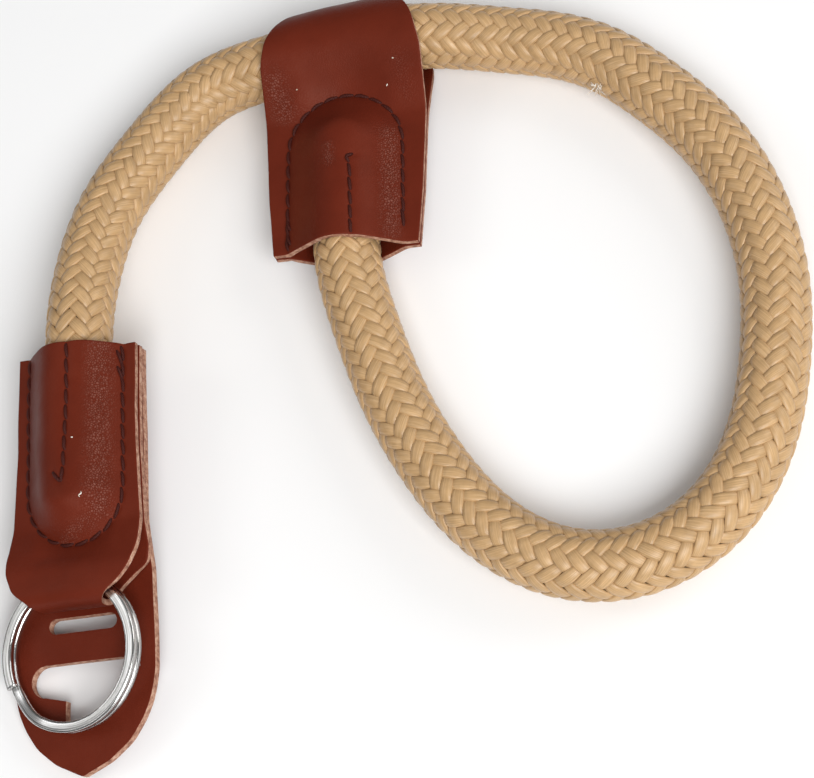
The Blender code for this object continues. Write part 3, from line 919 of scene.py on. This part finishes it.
def press(grid, seam, centre, creases, dent):
    """Presses a strip's seams and its dent into both plies, and its creases into the front one."""
    normals = grid_normals(grid)
    x, y = grid[..., 0], grid[..., 1]
    middle = from_path(x, y, centre)
    deep, half_width = CENTRE_GROOVE
    fade = np.clip((centre[-2][1] - y) / DENT_FADE, 0.0, 1.0)
    depth = seam_depth(x, y, seam) + deep * hump(middle, half_width)
    depth += dent * fade * hump(middle, DENT_HALF_WIDTH)
    front = (grid[..., 2] > 0) & (y < 0.9 * y.max())
    for *line, deep, half_width in creases:
        depth += np.where(front, deep * MM * streak(grid, line, half_width), 0.0)
    depth += undulate(x, y)
    outwards = np.sign(grid[..., 2] * normals[..., 2])
    outwards[outwards == 0] = 1.0
    flip = np.sign(np.median(outwards))
    return grid - (depth * flip)[..., None] * normals


def wear_and_sheen_at(grid, patches):
    """How scuffed each point of the front ply is, from patches given in mm, where the lighter colour is
    partly scuffing and partly painted highlight. The back is a little scuffed.
    """
    amount = np.zeros(grid.shape[:2])
    for *line, half_width, strength in patches:
        amount = np.maximum(amount, strength * streak(grid, line, half_width))
    return np.where(grid[..., 2] > 0, amount, 0.15)


def leather_sheet(name, grid, thickness, wear_and_sheen):
    """A grid primitive laid on the points, given its wall and a pale cut rim."""
    rows, columns = grid.shape[:2]
    deselect()
    bpy.ops.mesh.primitive_grid_add(x_subdivisions=columns - 1, y_subdivisions=rows - 1, size=1.0)
    sheet = bpy.context.active_object
    sheet.name = name
    sheet.data.vertices.foreach_set("co", grid.reshape(-1).astype(np.float32))
    point_values(sheet, "wear_and_sheen", wear_and_sheen)
    sheet.data.update()
    for material in leather_pair():
        sheet.data.materials.append(material)
    wall = {"thickness": thickness, "offset": 0.0, "use_even_offset": True, "material_offset_rim": 1}
    apply_modifier(sheet, "SOLIDIFY", **wall)
    return sheet


def leather_pair():
    return shared("leather_grain", leather_material), shared("leather_cut_edge", edge_material)


def finish_leather(sheet, node, place, angles):
    """Softens a sheet's edges, carries it to its place and lets it stand for its node."""
    apply_modifier(
        sheet,
        "BEVEL",
        width=EDGE_BEVEL,
        segments=2,
        limit_method="ANGLE",
        angle_limit=math.radians(50),
        harden_normals=False,
        material=0,
    )
    sheet.data.transform(frame_matrix(place, angles))
    sheet.data.update()
    make_active(sheet)
    bpy.ops.object.shade_smooth_by_angle(angle=math.radians(45))
    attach(sheet, "strap")
    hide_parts(node)


def stitched_seams(strip, low_left, low_right, centre):
    """A strip's U seam and its centre seam: x, y points in metres.

    low_left and low_right are how far from the mouth the two ends of the U are.
    """
    half, pocket = strip.stitch - SEAM_INSET, strip.pocket
    arch = [(half * math.cos(a), pocket + half * math.sin(a)) for a in np.linspace(math.pi, 0.0, 25)]
    return [(-half, low_left)] + arch + [(half, low_right)], [(x * MM, y * MM) for x, y in centre]


def slider_seams():
    return stitched_seams(slider_strip(), 0.0004, 0.0026, SLIDER_CENTRE)


def tab_seams():
    return stitched_seams(tab_strip(), 0.0004, 0.0004, TAB_CENTRE)


def lean(y):
    """How far the tab leans to the side, in metres, at this distance from its mouth."""
    return -share_at(TAB_LEAN, y)


def sewn_grid(strip, waists, columns, passes, pressed):
    """The middle surface of a finished strip, with its seams, its creases and its dent."""
    return press(relax(even_grid(strip.folded(*waists), STRIP_ROWS, columns), passes), *pressed)


class STRAP_OT_slider(bpy.types.Operator):
    """Fold, sew and crease the slider's leather"""

    bl_idname = "strap.slider"
    bl_label = "Slider Leather"

    def execute(self, context):
        pressed = (*slider_seams(), SLIDER_CREASES, SLIDER_DENT)
        grid = sewn_grid(slider_strip(), (SLIDER_WAIST, SLIDER_WAIST), 76, 6, pressed)
        sheet = leather_sheet("slider_skin", grid, sizes().strip_leather, wear_and_sheen_at(grid, SLIDER_WEAR_AND_SHEEN))
        finish_leather(sheet, "slider_leather", SLIDER_PLACE, SLIDER_ANGLES)
        return {"FINISHED"}


class STRAP_OT_tab(bpy.types.Operator):
    """Fold and sew the end tab's leather round the split ring"""

    bl_idname = "strap.tab"
    bl_label = "End Tab Leather"

    def execute(self, context):
        pressed = (*tab_seams(), TAB_CREASES, TAB_DENT)
        grid = sewn_grid(tab_strip(), (TAB_FRONT_WAIST, TAB_BACK_WAIST), 70, 5, pressed)
        grid[..., 0] += lean(grid[..., 1])
        sheet = leather_sheet("tab_skin", grid, sizes().strip_leather, wear_and_sheen_at(grid, TAB_WEAR_AND_SHEEN))
        finish_leather(sheet, "tab_leather", TAB_PLACE, TAB_ANGLES)
        return {"FINISHED"}


def arc(centre, radius, start, end, steps):
    angles = np.radians(np.linspace(start, end, steps + 1))
    return [(centre[0] + radius * math.cos(a), centre[1] + radius * math.sin(a)) for a in angles]


def slot_outline():
    left = arc((SLOT_SHIFT + SLOT_REACH, SLOT_Y), SLOT_RADIUS, -90, 90, 14)
    return left + arc((SLOT_SHIFT - SLOT_REACH, SLOT_Y), SLOT_RADIUS, 90, 270, 14)


def hook_outline():
    radius, corner = HOOK_WIDTH / 2, HOOK_WIDTH / 3
    top = SLOT_Y + HOOK_PAST_SLOT - HOOK_WIDTH / 2
    round_end = arc((HOOK_LEFT - radius, top + radius), radius, -90, 90, 18)
    wall = [(HOOK_NOTCH, top + HOOK_WIDTH + corner / 2), (HOOK_NOTCH, top + HOOK_DEPTH)]
    sweep = HOOK_DEPTH - corner
    far = corner - HOOK_RIGHT
    bay = arc((far + sweep, top + corner), sweep, 90, 180, 18)
    return round_end + wall + bay[:-1] + arc((far, top + corner), corner, 180, 270, 8)


def punch(name, outline):
    """A punch of this outline: a filled face, extruded straight through the flap."""
    mesh = bpy.data.meshes.new(name)
    mesh.from_pydata([(x, y, -PUNCH_DEPTH) for x, y in outline], [], [list(range(len(outline)))])
    obj = bpy.data.objects.new(name, mesh)
    bpy.context.scene.collection.objects.link(obj)
    for material in leather_pair():
        mesh.materials.append(material)
    make_active(obj)
    bpy.ops.object.mode_set(mode="EDIT")
    bpy.ops.mesh.select_all(action="SELECT")
    bpy.ops.mesh.extrude_region_move(TRANSFORM_OT_translate={"value": (0.0, 0.0, PUNCH_DEPTH)})
    bpy.ops.object.mode_set(mode="OBJECT")
    outward(obj)
    mesh.polygons.foreach_set("material_index", [1] * len(mesh.polygons))
    return obj


def flap_lines():
    """Lengthwise lines of the flap: under the tab's back ply, then on its own past the fold."""
    strip = tab_strip()
    behind = (sizes().strip_leather + sizes().flap_leather) / 2 + FLAP_GAP
    start = strip.fold_y - strip.fold_room
    level = strip.fold_radius + behind
    droop = math.tan(math.radians(FLAP_DROOP_DEGREES))
    lines = []
    for column in strip.columns(behind):
        # Up to the fold the flap follows the back ply. The tiny addition takes in the fold's own row.
        section = [(y, z) for y, z in strip.section(column[0], behind) if y <= start + 1e-9]
        for share in np.linspace(0.0, 1.0, 61)[1:]:
            y = start + (FLAP_LENGTH - start) * math.sin(math.pi / 2 * share)
            section.append((y, level + droop * (y - start)))
        line = []
        for y, z in section:
            half_width = FLAP_HALF_WIDTH * share_at(FLAP_OUTLINE, y / FLAP_LENGTH)
            line.append((strip.across(column, half_width), y, -z))
        lines.append(np.array(line))
    return lines


class STRAP_OT_guard_flap(bpy.types.Operator):
    """Shape the guard flap behind the tab and punch its slot and its hook cut-out"""

    bl_idname = "strap.guard_flap"
    bl_label = "Guard Flap"

    def execute(self, context):
        grid = relax(even_grid(flap_lines(), 200, 72), 5)
        normals = grid_normals(grid)
        seam, _ = tab_seams()
        x, y = grid[..., 0], grid[..., 1]
        depth = seam_depth(x, y, seam) + undulate(y, x)
        grid = grid + (depth * np.sign(normals[..., 2]))[..., None] * normals
        # The flap is scuffed a little all over, and its lighter colour there is partly painted highlight.
        wear_and_sheen = np.full(grid.shape[:2], 0.1)
        sheet = leather_sheet("flap_skin", grid, sizes().flap_leather, wear_and_sheen)
        for name, outline in (("slot_punch", slot_outline()), ("hook_punch", hook_outline())):
            tool = punch(name, outline)
            apply_modifier(sheet, "BOOLEAN", operation="DIFFERENCE", solver="EXACT", object=tool)
            bpy.data.objects.remove(tool, do_unlink=True)
        finish_leather(sheet, "guard_flap", TAB_PLACE, TAB_ANGLES)
        return {"FINISHED"}


# Thread


def surface_tree(names):
    """A tree of the outer skin of these finished pieces, for laying thread or lint on them."""
    points, faces = [], []
    for name in names:
        mesh = bpy.data.objects[name].data
        base = len(points)
        points += [v.co.copy() for v in mesh.vertices]
        faces += [[base + i for i in p.vertices] for p in mesh.polygons]
    return BVHTree.FromPolygons(points, faces)


def lay_on(tree, matrix, x, y, side):
    """Where a straight line down on the leather meets it, and the leather's normal there."""
    axis = (matrix.to_3x3() @ Vector((0.0, 0.0, side))).normalized()
    place = matrix @ Vector((x, y, side * OFF_LEATHER))
    hit, normal, _, _ = tree.ray_cast(place, -axis)
    if hit is None:
        return None
    return np.array(hit), np.array(normal if normal.dot(axis) > 0 else -normal)


def stitch_run(tree, matrix, path, side, slant=0.10):
    """Stitches along a seam: each is a short line of points that dives at both ends.

    slant is how far a stitch leans across the seam, as a share of its length.
    """
    size = sizes()
    path = np.array(path)
    length = length_of(path)
    count = max(int(round(length / size.stitch_pitch)), 1)
    stops = np.arange(count + 1) * length / count
    along = travelled(path)

    def spot_at(stop):
        return [float(np.interp(stop, along, path[:, i])) for i in range(2)]

    runs = []
    for low, high in zip(stops, stops[1:]):
        gap = (high - low) * STITCH_GAP
        line = []
        for share, lift in STITCH:
            stop = low + gap + (high - low - 2 * gap) * share
            px, py = spot_at(stop)
            qx, qy = spot_at(min(stop + SEAM_STEP, length))
            rx, ry = spot_at(max(stop - SEAM_STEP, 0.0))
            dx, dy = qx - rx, qy - ry
            norm = math.hypot(dx, dy) or 1.0
            off = slant * size.stitch_pitch * (share - 0.5)
            found = lay_on(tree, matrix, px - dy / norm * off, py + dx / norm * off, side)
            if found is None:
                break
            spot, normal = found
            line.append(spot + normal * lift * size.thread_width)
        else:
            runs.append(np.array(line))
    return runs


def tubes(name, runs, rows, sides, radius_at, material, wound=False):
    """Tubes bent along runs of points, joined into one piece. radius_at reads a share of the length."""
    points, faces, coords = [], [], []
    for number, run in enumerate(runs):
        line = evenly(natural_spline(run, 4), rows)
        across, up = carried_frames(line)
        faces += tube_faces(len(points), rows, sides)
        for i, place in enumerate(line):
            share = i / (rows - 1)
            radius = radius_at(share)
            for k in range(sides):
                angle = 2 * math.pi * k / sides
                points.append(place + radius * (math.cos(angle) * across[i] + math.sin(angle) * up[i]))
                coords.append((share * 3.0 + number, k / sides * 2.0))
    piece = mesh_object(name, points, faces, [material], coords if wound else None)
    outward(piece)
    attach(piece, "strap")
    return piece


def thread_tubes(name, runs):
    """Joins one modelled stitch, bent along each run, into a single piece."""

    def radius_at(share):
        return sizes().thread_width / 2 * (0.62 + 0.38 * math.sin(math.pi * share) ** 0.5)

    material = shared("dark_thread", thread_material)
    tubes(name, runs, 11, 8, radius_at, material, wound=True)


class STRAP_OT_stitches(bpy.types.Operator):
    """Sew the dark seams on the slider and on the tab, front and back"""

    bl_idname = "strap.stitches"
    bl_label = "Stitches"

    def execute(self, context):
        jobs = (
            ("slider", ["slider_skin"], slider_seams(), SLIDER_PLACE, SLIDER_ANGLES),
            ("tab", ["tab_skin", "flap_skin"], tab_seams(), TAB_PLACE, TAB_ANGLES),
        )
        for name, skins, (seam, centre), place, angles in jobs:
            if name == "tab":
                seam = [(x + lean(y), y) for x, y in seam]
                centre = [(x + lean(y), y) for x, y in centre]
            tree = surface_tree(skins)
            matrix = frame_matrix(place, angles)
            for side, label in ((-1, "back"), (1, "front")):
                runs = stitch_run(tree, matrix, seam, side)
                runs += stitch_run(tree, matrix, centre, side)
                # The seam is sewn over twice where it ends.
                low = [(seam[0][0] + shift, y) for shift, y in TWICE_LEFT]
                runs += stitch_run(tree, matrix, low, side, 0.22)
                if name == "slider":
                    right = [(seam[-1][0] + shift, y) for shift, y in TWICE_RIGHT]
                    runs += stitch_run(tree, matrix, right, side, 0.3)
                thread_tubes(f"{name}_thread_{label}", runs)
        return {"FINISHED"}


# Lint and loose fibres


def fluff_material():
    """Pale lint and torn fibres."""
    material, shader = new_material("pale_fluff", (0.80, 0.74, 0.66), 0.85)
    tuft = noise(coordinates(shader), 3000.0, 2.0, 0.5)
    tone = ramp(tuft, (0.35, (0.62, 0.50, 0.36)), (0.6, (0.86, 0.82, 0.76)))
    link(tone, shader.inputs["Base Color"])
    return material


def fibres(name, lines, thickness):
    """Thin round fibres, tapered at both ends."""

    def radius_at(share):
        return thickness / 2 * (0.35 + 0.65 * math.sin(math.pi * share))

    tubes(name, lines, 9, 5, radius_at, shared("pale_fluff", fluff_material))


def frayed_lines():
    """Torn fibres that stand out round the rope's nick."""
    nick = np.array(ROPE_NICK) * MM
    tree = surface_tree(["braid_right", "braid_left"])
    lines = []
    # The factors of the fibre's number scatter the fibres' turns and lengths without a pattern.
    for number in range(FRAYED_FIBRES):
        swing = number * 2.4
        start = nick + np.array([0.45 * math.cos(swing), 0.45 * math.sin(swing), 0.0]) * MM
        hit, normal, _, _ = tree.find_nearest(Vector(start))
        root, out = np.array(hit), np.array(normal)
        side = np.array([math.sin(swing * 1.7), math.cos(swing * 1.3), 0.3])
        reach = (1.0 + 0.4 * math.sin(number * 3.1)) * MM
        middle = root + out * reach * 0.45 + side * reach * 0.35
        lines.append(np.array([root - out * 0.1 * MM, middle, root + out * reach * 0.6 + side * reach]))
    return lines


def lint_lines():
    """Short bent pieces of lint that lie on the leather."""
    lines = []
    for skin, place, angles, specks in (
        ("slider_skin", SLIDER_PLACE, SLIDER_ANGLES, SLIDER_LINT),
        ("tab_skin", TAB_PLACE, TAB_ANGLES, TAB_LINT),
    ):
        tree, matrix = surface_tree([skin]), frame_matrix(place, angles)
        for x, y, turn, reach in specks:
            bend = math.radians(turn)
            line = []
            for step, sway in LINT_BEND:
                px = x + reach * (step * math.cos(bend) - sway * math.sin(bend))
                py = y + reach * (step * math.sin(bend) + sway * math.cos(bend))
                spot, normal = lay_on(tree, matrix, px * MM, py * MM, 1)
                line.append(spot + normal * 0.00004)
            lines.append(np.array(line))
    return lines


class STRAP_OT_fluff(bpy.types.Operator):
    """Fray the rope where it is nicked and drop a little lint on the leather"""

    bl_idname = "strap.fluff"
    bl_label = "Lint and Frayed Fibres"

    def execute(self, context):
        fibres("frayed_fibres", frayed_lines(), 0.00017)
        fibres("leather_lint", lint_lines(), 0.00022)
        return {"FINISHED"}


# The split ring


def wire_profile():
    """Points round the flat wire, with round corners."""
    half_width = RING_WIRE_WIDTH / 2 - RING_WIRE_ROUND
    half_height = RING_WIRE_THICKNESS / 2 - RING_WIRE_ROUND
    profile = []
    for sx, sz, start in ((1, 1, 0), (-1, 1, 90), (-1, -1, 180), (1, -1, 270)):
        for k in range(5):
            angle = math.radians(start + 90 * k / 4)
            px = sx * half_width + RING_WIRE_ROUND * math.cos(angle)
            profile.append((px, sz * half_height + RING_WIRE_ROUND * math.sin(angle)))
    return np.array(profile)


def ring_coil():
    """Two turns of flat wire, which step from one level to the other."""
    middle = (RING_DIAMETER - RING_WIRE_WIDTH) / 2
    level = (RING_WIRE_THICKNESS + RING_COIL_GAP) / 2
    profile = wire_profile()
    around = travelled(profile)
    sides = len(profile)
    points, coords = [], []
    for step in range(RING_SEGMENTS + 1):
        degrees = RING_START + (RING_END - RING_START) * step / RING_SEGMENTS
        across = min(max((degrees - RING_STEP) / RING_STEP_REACH, -1.0), 1.0)
        z = level * math.sin(across * math.pi / 2)
        angle = math.radians(degrees)
        for (px, pz), run in zip(profile, around):
            radius = middle + px
            points.append((radius * math.cos(angle), radius * math.sin(angle), z + pz))
            coords.append((angle * middle, run))
    # The wire's upper and lower faces have the second material.
    indices = [1 if side in (4, 14) else 0 for side in range(sides)] * RING_SEGMENTS
    return points, tube_faces(0, RING_SEGMENTS + 1, sides), coords, indices + [0, 0]


class STRAP_OT_split_ring(bpy.types.Operator):
    """Coil the split ring through the tab's fold"""

    bl_idname = "strap.split_ring"
    bl_label = "Split Ring"

    def execute(self, context):
        points, faces, coords, indices = ring_coil()
        turn = Euler([math.radians(angle) for angle in RING_ANGLES]).to_matrix().to_4x4()
        matrix = frame_matrix(TAB_PLACE, TAB_ANGLES) @ Matrix.Translation(RING_PLACE) @ turn
        wires = [steel_material("ring_wire", 0.15, 0.55), steel_material("ring_flat", 0.30, 0.40)]
        ring = mesh_object("ring_wire", carry(matrix, points), faces, wires, coords, indices)
        outward(ring)
        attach(ring, "ring")
        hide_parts("split_ring")
        return {"FINISHED"}


# The studio


def studio_air():
    """Soft white light from above, darker towards the horizon."""
    world = bpy.data.worlds.new("studio_air")
    world.use_nodes = True
    background = world.node_tree.nodes["Background"]
    parts = add_node(background, "SeparateXYZ")
    link(add_node(background, "TexCoord").outputs["Generated"], parts.inputs["Vector"])
    link(ramp(parts.outputs["Z"], (0.05, 0.14), (0.75, 1.0)), background.inputs["Color"])
    background.inputs["Strength"].default_value = 0.30
    return world


class STRAP_OT_studio(bpy.types.Operator):
    """Set up the pale floor, the soft lights and the camera"""

    bl_idname = "strap.studio"
    bl_label = "Studio"

    def execute(self, context):
        deselect()
        bpy.ops.mesh.primitive_plane_add(size=6.0, location=(0.0, 0.0, -0.0002))
        floor = context.active_object
        floor.name = "studio_floor"
        bpy.ops.object.transform_apply(location=True, rotation=True, scale=True)
        floor.data.materials.append(floor_material())
        target = Vector(CAMERA_TARGET)
        for name, place, power, wide, tall in SOFTBOXES:
            bpy.ops.object.light_add(type="AREA", location=place)
            light = context.active_object
            light.name = name
            light.data.shape = "RECTANGLE"
            light.data.size, light.data.size_y = wide, tall
            light.data.energy = power
            light.rotation_euler = (target - light.location).to_track_quat("-Z", "Y").to_euler()
        context.scene.world = studio_air()
        context.scene.view_settings.view_transform = "Standard"
        away = Vector(CAMERA_WAY).normalized()
        bpy.ops.object.camera_add(location=target + away * CAMERA_DISTANCE)
        camera = context.active_object
        camera.name = "studio_camera"
        # The picture's top leans the way that keeps the table's X axis level with its lower edge.
        right = Vector((away.z, 0.0, -away.x)).normalized()
        up = away.cross(right)
        camera.rotation_euler = Matrix((right, up, away)).transposed().to_euler()
        camera.data.lens = CAMERA_LENS
        camera.data.sensor_width = 36.0
        camera.data.clip_start = 0.01
        context.scene.camera = camera
        return {"FINISHED"}


class STRAP_PT_panel(bpy.types.Panel):
    """Lists the strap's pieces, sizes and colours"""

    bl_idname = "STRAP_PT_panel"
    bl_label = "Hand Strap"
    bl_space_type = "VIEW_3D"
    bl_region_type = "UI"
    bl_category = "Hand Strap"

    def draw(self, context):
        for piece in PIECES:
            self.layout.operator(piece.bl_idname)
        for group in (context.scene.strap_sizes, context.scene.strap_colours):
            for name in group.__annotations__:
                self.layout.prop(group, name)


PIECES = (
    STRAP_OT_studio,
    STRAP_OT_rope_core,
    STRAP_OT_slider,
    STRAP_OT_tab,
    STRAP_OT_guard_flap,
    STRAP_OT_stitches,
    STRAP_OT_fluff,
    STRAP_OT_split_ring,
)
CLASSES = (StrapSizes, StrapColours, *PIECES, STRAP_PT_panel)


def register():
    for cls in CLASSES:
        bpy.utils.register_class(cls)
    bpy.types.Scene.strap_sizes = bpy.props.PointerProperty(type=StrapSizes)
    bpy.types.Scene.strap_colours = bpy.props.PointerProperty(type=StrapColours)


def unregister():
    del bpy.types.Scene.strap_colours
    del bpy.types.Scene.strap_sizes
    for cls in reversed(CLASSES):
        bpy.utils.unregister_class(cls)


def main():
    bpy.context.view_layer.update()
    register()
    bpy.ops.strap.studio()
    bpy.ops.strap.rope_core()
    bpy.ops.strap.slider()
    bpy.ops.strap.tab()
    bpy.ops.strap.guard_flap()
    bpy.ops.strap.stitches()
    bpy.ops.strap.fluff()
    bpy.ops.strap.split_ring()


if __name__ == "__main__":
    main()
